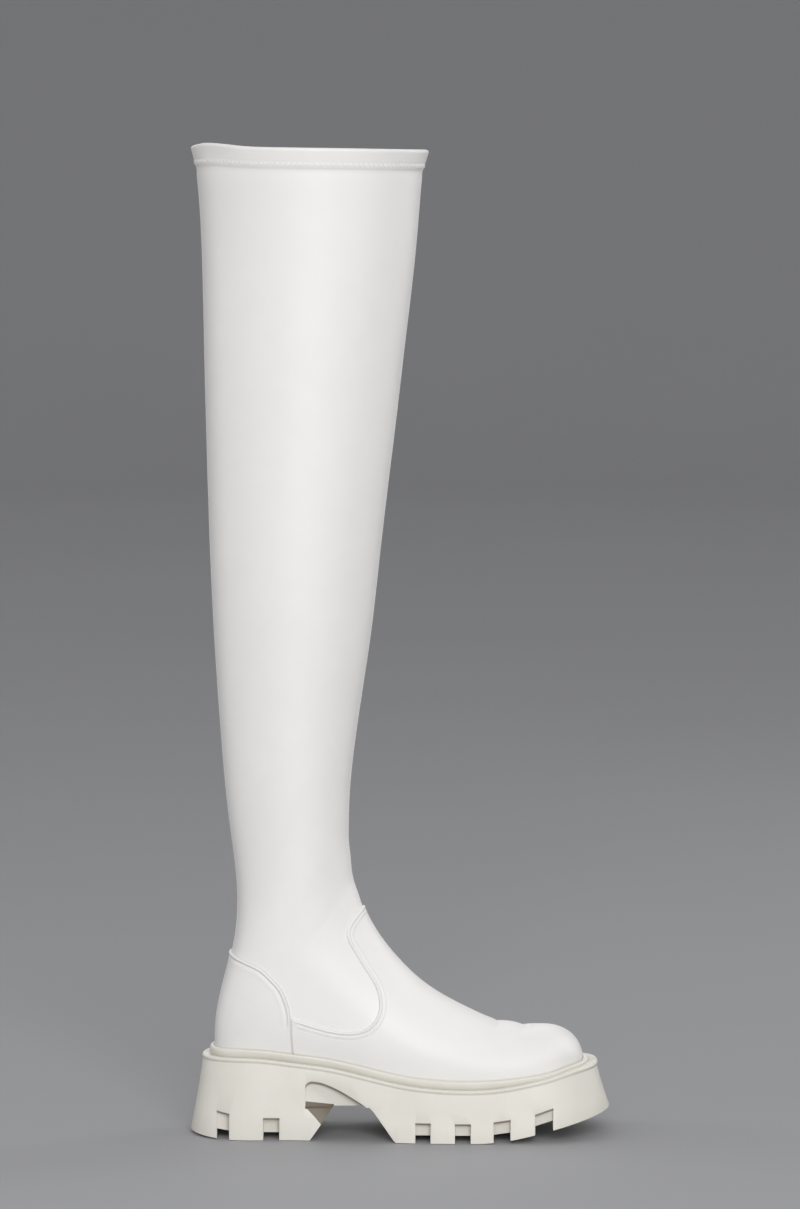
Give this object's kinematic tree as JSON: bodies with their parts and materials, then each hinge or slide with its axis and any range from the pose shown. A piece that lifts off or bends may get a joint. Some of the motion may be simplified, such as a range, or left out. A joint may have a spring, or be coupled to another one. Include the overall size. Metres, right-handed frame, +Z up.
{
  "type": "thigh-high boot",
  "caption": "Right thigh-high boot: plain stretch shaft with a side zip, vamp and counter panels over the foot, on a chunky lugged sole with an arch and a block heel.",
  "frame": {"origin": "on the floor below the middle of the boot's bounding box", "axes": "+X towards the toe, +Y towards the inner (medial) side, +Z up along the shaft"},
  "size_m": [0.29, 0.1448, 0.6813],
  "materials": {
    "sole": "cream moulded sole, satin",
    "insole": "beige cloth-covered board, matt",
    "upper": "white stretch synthetic leather, soft satin",
    "panels": "white synthetic leather, soft satin",
    "zip": "white nylon coil",
    "zip_metal": "polished silver-coloured metal"
  },
  "bodies": {
    "boot": {"outsole": "sole", "welt": "sole", "insole": "insole", "upper": "upper", "vamp": "panels", "counter": "panels", "zip_chain": "zip", "zip_slider": "zip_metal"},
    "zip_pull": {"zip_pull": "zip_metal"}
  },
  "joints": [
    {"name": "zip_pull_swing", "type": "hinge", "parent": "boot", "child": "zip_pull", "pos_m": [-0.07296, 0.05822, 0.35851], "axis": [1, 0, 0], "range_deg": [-6, 165]}
  ]
}
